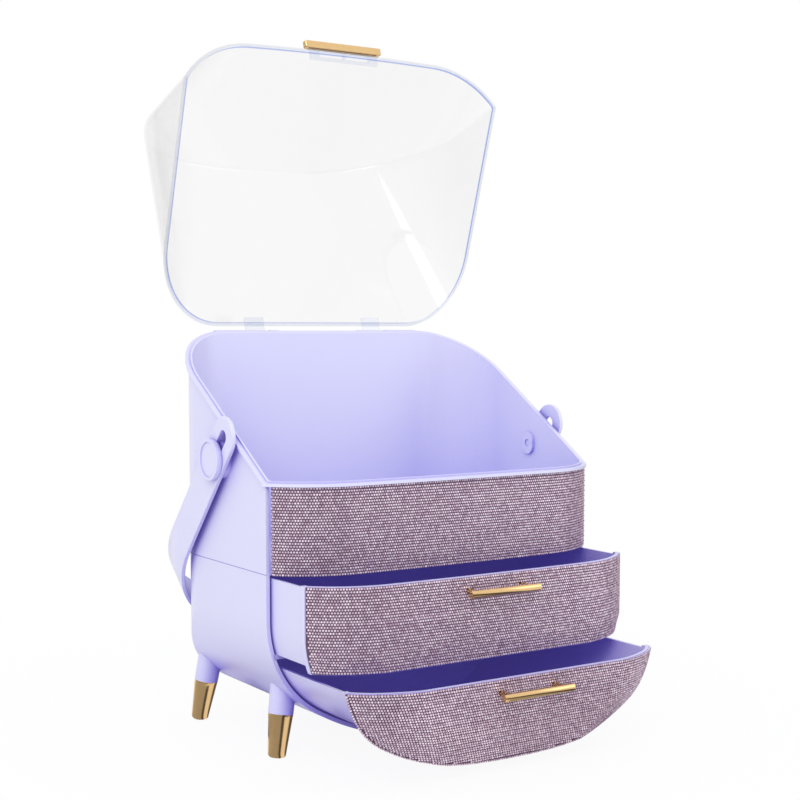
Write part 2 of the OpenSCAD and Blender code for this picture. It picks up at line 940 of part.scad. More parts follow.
module back_right_leg() {
    leg(1, 1);
}

module front_left_foot() {
    foot(-1, -1);
}

module front_right_foot() {
    foot(1, -1);
}

module back_left_foot() {
    foot(-1, 1);
}

module back_right_foot() {
    foot(1, 1);
}

upper_shell();
lower_shell();
drawer_shelf();
band_trim();
upper_drawer();
upper_drawer_trim();
upper_drawer_pull();
upper_pull_screws();
lower_drawer();
lower_drawer_trim();
lower_drawer_pull();
lower_pull_screws();
lid();
lid_grip();
left_hinge_pin();
right_hinge_pin();
handle();
left_slot_bush();
right_slot_bush();
left_pivot_stud();
right_pivot_stud();
left_stud_clip();
right_stud_clip();
front_left_leg();
front_right_leg();
back_left_leg();
back_right_leg();
front_left_foot();
front_right_foot();
back_left_foot();
back_right_foot();
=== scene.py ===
import json
import math
import random

import bmesh
import bpy
from mathutils import Matrix, Vector


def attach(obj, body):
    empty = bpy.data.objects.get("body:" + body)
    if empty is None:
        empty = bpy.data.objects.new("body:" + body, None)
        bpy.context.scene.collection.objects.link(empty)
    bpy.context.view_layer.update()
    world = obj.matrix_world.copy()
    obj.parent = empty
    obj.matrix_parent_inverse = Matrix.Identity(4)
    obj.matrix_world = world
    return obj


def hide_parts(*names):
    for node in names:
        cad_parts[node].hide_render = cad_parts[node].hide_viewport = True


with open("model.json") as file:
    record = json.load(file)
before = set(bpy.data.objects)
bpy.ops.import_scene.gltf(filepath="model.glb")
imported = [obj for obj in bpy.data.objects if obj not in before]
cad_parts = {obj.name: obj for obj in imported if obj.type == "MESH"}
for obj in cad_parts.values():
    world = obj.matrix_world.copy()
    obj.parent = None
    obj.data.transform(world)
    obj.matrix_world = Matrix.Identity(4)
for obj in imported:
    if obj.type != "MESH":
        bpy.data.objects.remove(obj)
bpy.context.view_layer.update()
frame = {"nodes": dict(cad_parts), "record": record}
nodes = frame["nodes"]

MM = 0.001
EDGE_Y = -0.08011          # the hood's front edge lies this far ahead of the origin, in metres


# ---- Camera ----

YAW, PITCH = 0.57855, 0.079373
SENSOR_MM, FOCAL_MM = 36, 66.65
CAMERA_SHIFT = (0.003, 0.0571)
CAMERA_AT = Vector((-0.62163, -0.90016 + EDGE_Y, 0.30683))


def make_camera():
    """The photograph's camera."""
    data = bpy.data.cameras.new("camera")
    camera = bpy.data.objects.new("camera", data)
    bpy.context.scene.collection.objects.link(camera)
    level = math.cos(PITCH)
    forward = Vector((math.sin(YAW) * level, math.cos(YAW) * level, -math.sin(PITCH)))
    right = Vector((math.cos(YAW), -math.sin(YAW), 0))
    up = right.cross(forward)
    turn = Matrix((right, up, -forward)).transposed()
    camera.matrix_world = Matrix.Translation(CAMERA_AT) @ turn.to_4x4()
    data.sensor_width = SENSOR_MM
    data.lens = FOCAL_MM
    data.shift_x, data.shift_y = CAMERA_SHIFT
    bpy.context.scene.camera = camera


# ---- Materials ----

GRAIN_DETAIL, GRAIN_BUMP_M = 3.0, 0.0002
PLASTIC_GRAIN, METAL_GRAIN, CLEAR_GRAIN, STONE_GRAIN = 60, 240, 40, 900
PLASTIC_ROUGH, PLASTIC_SPREAD, PLASTIC_BUMP = 0.34, 0.04, 0.04
COAT_WEIGHT, COAT_ROUGH = 0.12, 0.25
PAINTED_SHADE_REACH_M, PAINTED_SHADE_SAMPLES = 0.1, 12    # how far away a wall still deepens a hollow's painted shade
# a painted glow standing in for light that comes through the walls, shown only where hardly any
# light falls in
PAINTED_GLOW_UNTIL, PAINTED_GLOW_COLOR = 0.55, (0.030, 0.023, 0.075)
# the plastics' colour with painted shade, from a deep hollow to an open face
SHELL_SHADE_STOPS = [(0.0, (0.14, 0.10, 0.48)), (0.3, (0.36, 0.32, 0.80)),
               (0.65, (0.645, 0.63, 0.93)), (0.95, (0.74, 0.735, 0.955))]
DRAWER_SHADE_STOPS = [(0.0, (0.14, 0.10, 0.48)), (0.35, (0.36, 0.30, 0.78)),
                (0.7, (0.64, 0.62, 0.92)), (0.95, (0.73, 0.725, 0.95))]
BLOTCH_SHADE, BLOTCH_EDGES, METAL_BUMP = 0.94, (0.3, 0.7), 0.02
CLEAR_ROUGH = (0.03, 0.08)
CLEAR_MIRROR, CLEAR_STEEP = (0.04, 0.8), 4.0    # mirrored share head-on and oblique, its power
STONE_SPREAD = 0.05


def add_node(tree, kind, inputs=None, **settings):
    """A shader node; each input is a plain value, or another node's output to link."""
    node = tree.nodes.new("ShaderNode" + kind)
    for name, value in settings.items():
        setattr(node, name, value)
    for name, value in (inputs or {}).items():
        if isinstance(value, bpy.types.NodeSocket):
            tree.links.new(value, node.inputs[name])
        else:
            node.inputs[name].default_value = value
    return node


def mixed_color(tree, share, a, b):
    """A colour that goes from a to b as share goes from 0 to 1."""
    mix = add_node(tree, "Mix", {"Factor": share, "A": a, "B": b}, data_type="RGBA")
    return mix.outputs["Result"]


def mixed_shader(tree, share, a, b, output):
    """Shows the tree's output as a at a share of 0 and as b at 1."""
    mix = add_node(tree, "MixShader", {"Fac": share, 1: a.outputs[0], 2: b.outputs[0]})
    tree.links.new(mix.outputs[0], output.inputs["Surface"])


def new_material(name, color, roughness, metallic=0.0):
    """A node material of one plain colour, to be detailed."""
    material = bpy.data.materials.new(name)
    material.use_nodes = True
    shader = material.node_tree.nodes["Principled BSDF"]
    shader.inputs["Base Color"].default_value = (*color, 1)
    shader.inputs["Roughness"].default_value = roughness
    shader.inputs["Metallic"].default_value = metallic
    return material, shader


def add_grain(tree, shader, scale, low, high, bump=0.0):
    """Lets fine noise vary the roughness between low and high, and raise a faint bump."""
    place = add_node(tree, "TexCoord")
    noise = add_node(tree, "TexNoise", {
        "Scale": scale, "Detail": GRAIN_DETAIL, "Vector": place.outputs["Object"]})
    rough = add_node(tree, "MapRange", {
        "To Min": low, "To Max": high, "Value": noise.outputs["Fac"]})
    tree.links.new(rough.outputs["Result"], shader.inputs["Roughness"])
    if bump:
        raised = add_node(tree, "Bump", {
            "Strength": bump, "Distance": GRAIN_BUMP_M, "Height": noise.outputs["Fac"]})
        tree.links.new(raised.outputs["Normal"], shader.inputs["Normal"])
    return noise


def color_ramp(tree, stops, source):
    """The colour from a ramp through stops of (position, colour), driven by source."""
    ramp = add_node(tree, "ValToRGB", {"Fac": source})
    points = ramp.color_ramp.elements
    points[0].position, points[0].color = stops[0][0], (*stops[0][1], 1)
    points[-1].position, points[-1].color = stops[-1][0], (*stops[-1][1], 1)
    for position, color in stops[1:-1]:
        points.new(position).color = (*color, 1)
    return ramp.outputs["Color"]


def plastic(name, stops):
    """Moulded plastic with painted shade: its colour is painted deeper and more violet in hollows,
    and a faint painted glow lifts the deepest of them.
    """
    material, shader = new_material(name, stops[-1][1], PLASTIC_ROUGH)
    tree = material.node_tree
    add_grain(tree, shader, PLASTIC_GRAIN, PLASTIC_ROUGH - PLASTIC_SPREAD,
              PLASTIC_ROUGH + PLASTIC_SPREAD, PLASTIC_BUMP)
    openness = add_node(tree, "AmbientOcclusion", {"Distance": PAINTED_SHADE_REACH_M},
                        samples=PAINTED_SHADE_SAMPLES)
    # painted shade: the ramp darkens the plastic where nearby walls close it in
    color = color_ramp(tree, stops, openness.outputs["AO"])
    tree.links.new(color, shader.inputs["Base Color"])
    # painted glow: an emission that is strongest in the deepest hollows and gone where they open
    # out
    through = add_node(tree, "MapRange", {
        "From Max": PAINTED_GLOW_UNTIL, "To Min": 1.0, "To Max": 0.0, "Value": openness.outputs["AO"]})
    tree.links.new(through.outputs["Result"], shader.inputs["Emission Strength"])
    shader.inputs["Emission Color"].default_value = (*PAINTED_GLOW_COLOR, 1)
    shader.inputs["Coat Weight"].default_value = COAT_WEIGHT
    shader.inputs["Coat Roughness"].default_value = COAT_ROUGH
    return material


def metal(name, color, rough):
    """Polished metal with faint blotches."""
    material, shader = new_material(name, color, rough, metallic=1.0)
    tree = material.node_tree
    noise = add_grain(tree, shader, METAL_GRAIN, rough - 0.03, rough + 0.05, METAL_BUMP)
    shades = [[c * BLOTCH_SHADE for c in color], color]
    blotches = color_ramp(tree, list(zip(BLOTCH_EDGES, shades)), noise.outputs["Fac"])
    tree.links.new(blotches, shader.inputs["Base Color"])
    return material


def clear(name, color):
    """Clear acrylic: lets everything through with a faint tint, and mirrors more when oblique."""
    material, shader = new_material(name, color, CLEAR_ROUGH[0])
    tree = material.node_tree
    tree.nodes.remove(shader)
    through = add_node(tree, "BsdfTransparent", {"Color": (*color, 1)})
    mirror = add_node(tree, "BsdfGlossy", {"Color": (1, 1, 1, 1)})
    add_grain(tree, mirror, CLEAR_GRAIN, *CLEAR_ROUGH)
    weight = add_node(tree, "LayerWeight", {"Blend": 0.5})
    steep = add_node(tree, "Math", {0: weight.outputs["Facing"], 1: CLEAR_STEEP},
                     operation="POWER")
    share = add_node(tree, "MapRange", {
        "To Min": CLEAR_MIRROR[0], "To Max": CLEAR_MIRROR[1], "Value": steep.outputs[0]})
    mixed_shader(tree, share.outputs["Result"], through, mirror, tree.nodes["Material Output"])
    return material


def stone(name, dark, light, rough, metallic):
    """One facet kind of the stones, each stone with a shade of its own."""
    material, shader = new_material(name, light, rough, metallic)
    tree = material.node_tree
    add_grain(tree, shader, STONE_GRAIN, rough - STONE_SPREAD, rough + STONE_SPREAD)
    shade = add_node(tree, "NewGeometry").outputs["Random Per Island"]
    color = color_ramp(tree, [(0.0, dark), (1.0, light)], shade)
    tree.links.new(color, shader.inputs["Base Color"])
    return material


def make_materials():
    """The record's six slots, and the kinds that only some faces of the pieces have."""
    return {
        "shell": plastic("lilac_plastic", SHELL_SHADE_STOPS),
        "drawer_plastic": plastic("drawer_lilac_plastic", DRAWER_SHADE_STOPS),
        "gold": metal("polished_gold", (0.83, 0.56, 0.27), 0.12),
        "steel": metal("plain_steel", (0.6, 0.6, 0.62), 0.3),
        "clear_lid": clear("clear_acrylic", (0.972, 0.971, 0.973)),
        "clear_edge": clear("clear_acrylic_edge", (0.93, 0.94, 0.97)),
        "edge_line": clear("clear_acrylic_line", (0.50, 0.58, 0.93)),
        # the stones' sides and tables are shaded and lit copies of one stone: painted shade on the
        # sides, a painted highlight on the tables
        "rhinestone_trim": stone("stone_sides_painted_shade", (0.31, 0.19, 0.28), (0.57, 0.39, 0.52), 0.2, 0.3),
        "stone_tables": stone("stone_tables", (0.62, 0.45, 0.57), (1.0, 0.90, 0.97), 0.12, 0.15),
        # the backing's dark mauve is partly the sheet's own colour and partly painted shade
        # between the stones
        "trim_backing": stone("trim_backing", (0.10, 0.055, 0.10), (0.14, 0.08, 0.14), 0.5, 0.0),
    }


def dress_nodes(materials):
    """Gives each CAD node the material of its slot in the record."""
    slots = {part["node"]: part["material_slot"] for part in frame["record"]["subparts"]}
    for name, piece in nodes.items():
        piece.data.materials.clear()
        piece.data.materials.append(materials[slots[name]])


# rounding of handled and polished parts, in millimetres
SOFT_EDGES = {"handle": 0.5, "left_pivot_stud": 0.5, "right_pivot_stud": 0.5, "lid_grip": 1.0,
              "upper_drawer_pull": 0.7, "lower_drawer_pull": 0.7, "front_left_foot": 0.5,
              "front_right_foot": 0.5, "back_left_foot": 0.5, "back_right_foot": 0.5}
SHARP_ANGLE = math.radians(35)
WELD_M = 0.00001


def soften_edges():
    """Gives handled and polished parts the small rounding that catches the light."""
    for name, width in SOFT_EDGES.items():
        joined = nodes[name].modifiers.new("joined", "WELD")
        joined.merge_threshold = WELD_M
        rounding = nodes[name].modifiers.new("rounding", "BEVEL")
        rounding.width = width * MM
        rounding.segments = 3
        rounding.limit_method = "ANGLE"
        rounding.angle_limit = SHARP_ANGLE
        rounding.harden_normals = True


def add_piece(name, points, faces, kinds, materials):
    """A mesh from points in millimetres, y from the hood's edge, each face with its material."""
    mesh = bpy.data.meshes.new(name)
    place = Vector((0, EDGE_Y, 0))
    mesh.from_pydata([Vector(p) * MM + place for p in points], [], faces)
    used = sorted(set(kinds))
    for kind in used:
        mesh.materials.append(materials[kind])
    for polygon, kind in zip(mesh.polygons, kinds):
        polygon.material_index = used.index(kind)
    piece = bpy.data.objects.new(name, mesh)
    bpy.context.scene.collection.objects.link(piece)
    return piece


# ---- The fronts' form ----
# In millimetres, with y = 0 at the hood's front edge and z = 0 on the floor. An inset is a
# distance in from the fronts' own face.

HALF_W, FRONT_STEP = 142.5, 3.0                 # the body's half width, and the fronts' step in
CORNER_R, BELLY_R, BOWL_Z = 81.0, 199.0, 4.0    # the bowl's outline
CORNER_X = HALF_W - CORNER_R
BELLY_Z = BOWL_Z + BELLY_R
BELLY_EXTRA = BELLY_R - CORNER_R
BELLY_HALF = math.asin(CORNER_X / BELLY_EXTRA)  # half the angle that the belly's arc takes
CORNER_Z = BELLY_Z - BELLY_EXTRA * math.cos(BELLY_HALF)
FRONT_W, FLANGE_Y = HALF_W - FRONT_STEP, -5.0
FRONT_OUT, BOW_R, FRONT_R = 31.7, 2500.0, 75.0  # the bow, and the radius of its corners
TUCK_R, TUCK_Z = 215.0, 102.0                   # the fronts' turn in towards the floor
EDGE_ANGLES = [math.radians(a) for a in (20, 40, 58)]     # of the solid's cuts at a lower corner
EDGE_SLACK = 0.3

# The lower front's sheet stands out past the bowl's outline, most at its lower corners
SPREAD = 8.0
SPREAD_FROM, SPREAD_OVER = math.radians(14), math.radians(40)
SPREAD_IN = 35.0           # the spread starts this far from a corner's middle
BLEND_H = 15.0             # the sheet leaves the solid's form over this height
HALVINGS = 24              # steps of the search for its half width


def bow_centre(w, y0, out):
    """Centre of the corner arc that runs into the bow and ends at (w, y0)."""
    bow_y = BOW_R - out
    reach = math.hypot(w, y0 - bow_y)
    inner = BOW_R - FRONT_R
    along = (inner * inner - FRONT_R * FRONT_R + reach * reach) / (2 * reach)
    aside = math.sqrt(inner * inner - along * along)
    return ((along * w + aside * (y0 - bow_y)) / reach,
            bow_y + (along * (y0 - bow_y) - aside * w) / reach)


ROUND_X, ROUND_Y = bow_centre(FRONT_W, FLANGE_Y, FRONT_OUT)
BOW_Y = BOW_R - FRONT_OUT
OUTLINE_R = CORNER_R - FRONT_STEP
EDGE_CENTRE_Y = -FRONT_OUT - EDGE_SLACK + FRONT_R
EDGE_START = OUTLINE_R - math.sqrt(FRONT_R ** 2 - (EDGE_CENTRE_Y - FLANGE_Y) ** 2)


def clamped(value):
    """The value, kept between 0 and 1."""
    return min(max(value, 0.0), 1.0)


def smooth(value):
    """Eases from 0 to 1."""
    value = clamped(value)
    return value * value * (3 - 2 * value)


def outline_arc(x, z):
    """The sheet's outline near a point below CORNER_Z: its arc's middle and radius, the spread."""
    turn = math.atan2(abs(x), BELLY_Z - z)
    if turn < BELLY_HALF:
        spread = SPREAD * smooth(turn / BELLY_HALF)
        return (0.0, BELLY_Z), OUTLINE_R + BELLY_EXTRA + spread, spread
    turn = math.atan2(CORNER_Z - z, abs(x) - CORNER_X)
    spread = SPREAD * smooth((turn - SPREAD_FROM) / SPREAD_OVER)
    return (CORNER_X, CORNER_Z), OUTLINE_R + spread, spread


def edge_room(x, z, inset=0.0):
    """How far a point lies inside the sheet's outline, seen from the front."""
    if z >= CORNER_Z:
        return FRONT_W - inset - abs(x)
    middle, radius, _ = outline_arc(x, z)
    return radius - inset - math.hypot(abs(x) - middle[0], z - middle[1])


def solid_half(z, inset):
    """Half width of the solid fronts at height z."""
    if z >= CORNER_Z:
        return FRONT_W - inset
    corner = OUTLINE_R - inset
    drop = CORNER_Z - z
    if drop < corner * math.cos(BELLY_HALF):
        return CORNER_X + math.sqrt(corner ** 2 - drop ** 2)
    return math.sqrt(max((corner + BELLY_EXTRA) ** 2 - (BELLY_Z - z) ** 2, 0.0))


def sheet_half(z, inset):
    """Half width of the sheet at height z."""
    low, high = 0.0, FRONT_W + SPREAD
    for _ in range(HALVINGS):
        middle = (low + high) / 2
        if edge_room(middle, z, inset) > 0:
            low = middle
        else:
            high = middle
    return low


def arc_depth(across, middle, centre_y, radius):
    """Depth of a rounding of the given radius, across from its middle."""
    out = min(max(across - middle, 0.0), radius)
    return centre_y - math.sqrt(radius * radius - out * out)


def bow_depth(x, inset):
    """Depth of the fronts' shallow bow at x."""
    return BOW_Y - math.sqrt((BOW_R - inset) ** 2 - x * x)


def tuck_depth(z, inset):
    """Depth of the fronts' turn in towards the floor at height z."""
    drop = max(TUCK_Z - z, 0.0)
    return -FRONT_OUT + TUCK_R - math.sqrt((TUCK_R - inset) ** 2 - drop * drop)


def edge_depth(across, inset):
    """Depth of the rounding along the fronts' edge, across from a lower corner's middle."""
    return arc_depth(across, EDGE_START, EDGE_CENTRE_Y, FRONT_R - inset)


def solid_depth(x, z, inset):
    """Depth of the solid fronts at x and z."""
    x = abs(x)
    if x > ROUND_X:
        plan = arc_depth(x, ROUND_X, ROUND_Y, FRONT_R - inset)
    else:
        plan = bow_depth(x, inset)
    cuts = [edge_depth((x - CORNER_X) * math.cos(a) + (CORNER_Z - z) * math.sin(a), inset)
            for a in EDGE_ANGLES]
    return max(plan, tuck_depth(z, inset), *cuts)


def sheet_depth(x, z, inset):
    """Depth of the stones' sheet: round where the solid's lower corners are cut in steps."""
    solid = solid_depth(x, z, inset)
    if z >= CORNER_Z:
        return solid
    side, down = abs(x) - CORNER_X, CORNER_Z - z
    turn = min(math.atan2(down, side), math.pi / 2 - BELLY_HALF)
    across = side * math.cos(turn) + down * math.sin(turn)
    spread = outline_arc(x, z)[2]
    across -= spread * clamped((across - SPREAD_IN) / (OUTLINE_R - SPREAD_IN))
    full = max(bow_depth(x, inset), tuck_depth(z, inset), edge_depth(across, inset))
    return solid + (min(solid, full) - solid) * min(down / BLEND_H, 1.0)


def on_sheet(x, z):
    """The point of the sheet at x and z."""
    return x, sheet_depth(x, z, 0.0), z


def sheet_normal(x, z):
    """The sheet's outward normal, from its slopes over 1 mm each way."""
    slope_x = (sheet_depth(x + 1.0, z, 0.0) - sheet_depth(x - 1.0, z, 0.0)) / 2
    slope_z = (sheet_depth(x, z + 1.0, 0.0) - sheet_depth(x, z - 1.0, 0.0)) / 2
    size = math.sqrt(1 + slope_x ** 2 + slope_z ** 2)
    return Vector((slope_x / size, -1 / size, slope_z / size))


def edge_gap(x, z):
    """How far a point of the sheet lies from the sheet's edge."""
    if z >= CORNER_Z:
        edge = math.copysign(FRONT_W, x), z
    else:
        middle, radius, _ = outline_arc(x, z)
        way = Vector((abs(x) - middle[0], z - middle[1])).normalized() * radius
        edge = math.copysign(middle[0] + way.x, x), middle[1] + way.y
    return math.dist(on_sheet(x, z), on_sheet(*edge))


# ---- Rows of points ----

END_MARGIN = 0.45          # the least that a row's ends keep clear, in pitches


def measured(row):
    """The length along a row at each of its points."""
    lengths = [0.0]
    for a, b in zip(row, row[1:]):
        lengths.append(lengths[-1] + math.dist(a, b))
    return lengths


def at_length(row, lengths, wanted):
    """Points at the wanted lengths along a row, in order."""
    found, k = [], 0
    for at in wanted:
        while k < len(lengths) - 2 and lengths[k + 1] < at:
            k += 1
        span = lengths[k + 1] - lengths[k]
        share = (at - lengths[k]) / span if span > 0 else 0.0
        found.append(Vector(row[k]).lerp(Vector(row[k + 1]), share))
    return found


def spaced(row, pitch, offset):
    """Every pitch along a row, kept even about the middle."""
    lengths = measured(row)
    total = lengths[-1]
    margin = pitch * END_MARGIN
    count = int((total / 2 - pitch * 0.5 - offset) / pitch)
    wanted = [total / 2 + offset + pitch * k for k in range(-count - 1, count + 1)]
    return at_length(row, lengths, [at for at in wanted if margin <= at <= total - margin])


# ---- Rhinestone sheets ----

STONE_RINGS = [(0.98, 0.1), (0.98, 0.28), (0.68, 0.68)]      # radius and height of each ring
STONE_SIDES = 8
STONE_PITCH = 2.0
STONE_TILT = 0.09
SHEET_INSET, BACK_INSET = 0.68, 1.15    # of the backing's face and back
SHEET_COLUMNS, SHEET_ROW_H, SHEET_STEP = 240, 1.0, 0.5
LINE_STEP, FALL_STEP = 0.75, 0.2        # between lines down the sheet, and between their points
PITCH_STEPS = 100
LAST_ROW = 0.3                          # the lowest row's least height above the edge, in pitches
SIDE_SLACK = 0.01
EDGE_INSET, EDGE_CLEAR = 1.0, 2.5       # of the stones along the lower edge, and of all others
EDGE_TURN, EDGE_FROM, EDGE_STEP = 0.003, 0.1, 0.03
dice = random.Random(5)

# name, lowest and highest z, bare flange beside it, how far it is pulled out, body, node
SHEETS = [("band_stones", 135.6, 197.8, 1.5, 0.0, "body", "band_trim"),
          ("upper_drawer_stones", 74.8, 134.2, 5.0, 43.0, "upper_drawer", "upper_drawer_trim"),
          ("lower_drawer_stones", 8.0, 69.8, 5.0, 85.0, "lower_drawer", "lower_drawer_trim")]


def add_stone(points, faces, kinds, at, normal, turn):
    """One faceted stone, closed below, tilted a little as set by hand."""
    tilt = Vector([dice.uniform(-STONE_TILT, STONE_TILT) for _ in range(3)])
    normal = (normal + tilt).normalized()
    across = normal.cross(Vector((0, 0, 1))).normalized()
    upward = across.cross(normal)
    first = len(points)
    for radius, height in STONE_RINGS:
        for k in range(STONE_SIDES):
            angle = 2 * math.pi * (k + turn) / STONE_SIDES
            points.append(at + across * radius * math.cos(angle)
                          + upward * radius * math.sin(angle) + normal * (height - SHEET_INSET))
    # the side facets, which carry the painted shade
    for ring in range(len(STONE_RINGS) - 1):
        a, b = first + ring * STONE_SIDES, first + (ring + 1) * STONE_SIDES
        for k in range(STONE_SIDES):
            m = (k + 1) % STONE_SIDES
            faces.append((a + m, a + k, b + k, b + m))
            kinds.append("rhinestone_trim")
    # the table facet on top, which carries the painted highlight
    top = first + (len(STONE_RINGS) - 1) * STONE_SIDES
    faces.append(tuple(range(top + STONE_SIDES - 1, top - 1, -1)))
    kinds.append("stone_tables")
    faces.append(tuple(range(first, first + STONE_SIDES)))
    kinds.append("rhinestone_trim")


def edge_line(z1):
    """Places for the stones along the sheet's lower edge, from side to side below height z1."""
    right, angle = [], 0.0
    while angle < math.pi / 2:
        sine, cosine = math.sin(angle), math.cos(angle)
        middle = (0.0, BELLY_Z) if angle < BELLY_HALF else (CORNER_X, CORNER_Z)
        radius = outline_arc(middle[0] + OUTLINE_R * sine, middle[1] - OUTLINE_R * cosine)[1]
        inset = EDGE_FROM
        while inset < EDGE_INSET:
            x, z = middle[0] + (radius - inset) * sine, middle[1] - (radius - inset) * cosine
            if edge_gap(x, z) >= EDGE_INSET:
                break
            inset += EDGE_STEP
        if z < z1 - STONE_PITCH / 2:
            right.append(on_sheet(x, z))
        angle += EDGE_TURN
    lengths = measured(right)
    count = int(lengths[-1] / STONE_PITCH) + 1
    found = at_length(right, lengths, [STONE_PITCH * k for k in range(count)])
    return [Vector((-p.x, p.y, p.z)) for p in reversed(found[1:])] + found


def even_pitch(z0, z1):
    """The pitch nearest to the stones' own at which whole rows fill the sheet's middle."""
    heights = [z0 + (z1 - z0) * k / PITCH_STEPS for k in range(PITCH_STEPS + 1)]
    length = measured([on_sheet(0.0, z) for z in heights])[-1]
    return length / round(length / STONE_PITCH)


def row_spots(z0, z1):
    """Where each row crosses the lines down the sheet: lists of (line, point) by row number."""
    pitch = even_pitch(z0, z1)
    lines = int(FRONT_W / LINE_STEP)
    rows = {}
    for line in range(-lines, lines + 1):
        x = FRONT_W * line / lines
        z, run, number = z1 - pitch * 0.5, 0.0, 0
        while z > z0 + pitch * LAST_ROW and edge_room(x, z) >= 0:
            spot = on_sheet(x, z)
            if run >= pitch * number:
                rows.setdefault(number, []).append((line, spot))
                number += 1
            run += math.hypot(FALL_STEP, on_sheet(x, z - FALL_STEP)[1] - spot[1])
            z -= FALL_STEP
    return rows


def unbroken(spots):
    """A row's spots as runs of points on neighbouring lines."""
    runs = [[spots[0]]]
    for spot in spots[1:]:
        if spot[0] == runs[-1][-1][0] + 1:
            runs[-1].append(spot)
        else:
            runs.append([spot])
    return [[point for _, point in run] for run in runs]


def stone_rows(z0, z1, flange):
    """Numbered rows for the stones around the front, a pitch apart as measured down the sheet."""
    side_y = (-flange, (FLANGE_Y - flange) / 2)
    for number, spots in sorted(row_spots(z0, z1).items()):
        for row in unbroken(spots):
            z = row[0][2]
            if flange < -FLANGE_Y and row[0][0] == -FRONT_W:
                row = [(-FRONT_W, y, z) for y in side_y] + row
            if flange < -FLANGE_Y and row[-1][0] == FRONT_W:
                row = row + [(FRONT_W, y, z) for y in reversed(side_y)]
            if len(row) > 3:
                yield number, row


def face_row(z, flange, inset, half_at, depth_at):
    """Points around a front at height z, from y = -flange on the left to it on the right."""
    half = half_at(z, inset)
    count = max(2, int(2 * half / SHEET_STEP))
    corner_y = depth_at(half, z, inset)
    side_count = max(0, int((-flange - corner_y) / SHEET_STEP))
    side = [-flange + (corner_y + flange) * k / side_count for k in range(side_count)]
    across = [-half + 2 * half * k / count for k in range(count + 1)]
    return ([(-half, y, z) for y in side] + [(x, depth_at(x, z, inset), z) for x in across]
            + [(half, y, z) for y in reversed(side)])


def add_backing(points, faces, z0, z1, flange):
    """The sheet under the stones, closed all round. Its upper and lower strips come last."""
    rows, columns = max(2, int((z1 - z0) / SHEET_ROW_H)), SHEET_COLUMNS
    first, size = len(points), (rows + 1) * (columns + 1)
    for inset, half_at, depth_at in ((SHEET_INSET, sheet_half, sheet_depth),
                                     (BACK_INSET, solid_half, solid_depth)):
        for r in range(rows + 1):
            row = face_row(z0 + (z1 - z0) * r / rows, flange, inset, half_at, depth_at)
            lengths = measured(row)
            wanted = [lengths[-1] * c / columns for c in range(columns + 1)]
            points.extend(at_length(row, lengths, wanted))

    def at(layer, r, c):
        return first + layer * size + r * (columns + 1) + c

    for r in range(rows):
        for c in range(columns):
            faces.append((at(0, r, c), at(0, r, c + 1), at(0, r + 1, c + 1), at(0, r + 1, c)))
            faces.append((at(1, r, c), at(1, r + 1, c), at(1, r + 1, c + 1), at(1, r, c + 1)))
    for r in range(rows):
        faces.append((at(0, r, 0), at(0, r + 1, 0), at(1, r + 1, 0), at(1, r, 0)))
        faces.append((at(0, r, columns), at(1, r, columns),
                      at(1, r + 1, columns), at(0, r + 1, columns)))
    for c in range(columns):
        faces.append((at(0, 0, c), at(1, 0, c), at(1, 0, c + 1), at(0, 0, c + 1)))
        faces.append((at(0, rows, c), at(0, rows, c + 1), at(1, rows, c + 1), at(1, rows, c)))


def rhinestone_sheet(name, z0, z1, flange, out, materials):
    """A sheet of stones over a front between two heights, carried out by out millimetres."""
    points, faces = [], []
    add_backing(points, faces, z0, z1, flange)
    strips = 2 * SHEET_COLUMNS
    kinds = ["trim_backing"] * (len(faces) - strips) + ["drawer_plastic"] * strips
    has_edge_line = z0 < CORNER_Z - CORNER_R / 2
    for number, row in stone_rows(z0, z1, flange):
        shifted = 0.5 * (number % 2)
        for point in spaced(row, STONE_PITCH, STONE_PITCH * shifted):
            if has_edge_line and edge_gap(point.x, point.z) < EDGE_CLEAR:
                continue
            if abs(point.x) > FRONT_W - SIDE_SLACK and point.y > FLANGE_Y:
                normal = Vector((math.copysign(1.0, point.x), 0.0, 0.0))
            else:
                normal = sheet_normal(point.x, point.z)
            add_stone(points, faces, kinds, point, normal, shifted)
    if has_edge_line:
        for point in edge_line(z1):
            add_stone(points, faces, kinds, point, sheet_normal(point.x, point.z), 0.0)
    shift = Vector((0, -out, 0))
    return add_piece(name, [p + shift for p in points], faces, kinds, materials)


# ---- Lid, built shut and then swung up ----
# In millimetres, as the fronts. Its insets are measured in from the shell's lip.

LIP_W, LIP_OUT, BACK_R, BODY_D = 2.5, 2.0, 52.5, 162.5
RIM_Z, RIM_RISE = 200.0, 103.0
SIDE_Y = range(96, 8, -14)              # points along the rim's straight sides
LID_IN, LID_T = 1.7, 1.8
SHOULDER_R, CROWN_R, SPRING_Z = 110.7, 277.0, 260.0
ARCH_Y, ARCH_ROUND, ARCH_SIXTHS = 1.3, 3.5, 3
LID_LOW, LID_BAND = 0.9, 1.9
HINGE_Y, HINGE_Z, LID_OPEN = BODY_D + 10, RIM_Z + RIM_RISE - 2, math.radians(104.8)
ARC_STEPS = 24
SMOOTHING_WEIGHT = 60
# the flange's section: inset and height above the rim, its first face being the tinted line
FLANGE = [(3.65, 2.9), (3.65, 0.3), (1.1, 0.3), (1.1, 2.4), (1.6, 2.9)]
KNUCKLE_X, KNUCKLE_R, KNUCKLE_BORE, KNUCKLE_SIDES = (47.5, 64.5), 4.0, 1.6, 32
LEAF_RISE, LEAF_T, LEAF_IN, LEAF_LAP = 0.3, 2.4, 6, 0.2
HEEL_T, HEEL_Z = 2.4, 3.6
TAB_X = (-31.0, -22.9, -0.9, 0.9, 22.9, 31.0)
TAB_Y = (-37.7, -32.9, -27.9, -25.7)
TAB_Z = (202.6, 205.0)
TAB_WINDOWS = {(1, 1), (3, 1)}


def arc_points(x, y, radius, start, end, steps):
    """Points on an arc, both ends included."""
    angles = [start + (end - start) * k / steps for k in range(steps + 1)]
    return [(x + radius * math.cos(a), y + radius * math.sin(a)) for a in angles]


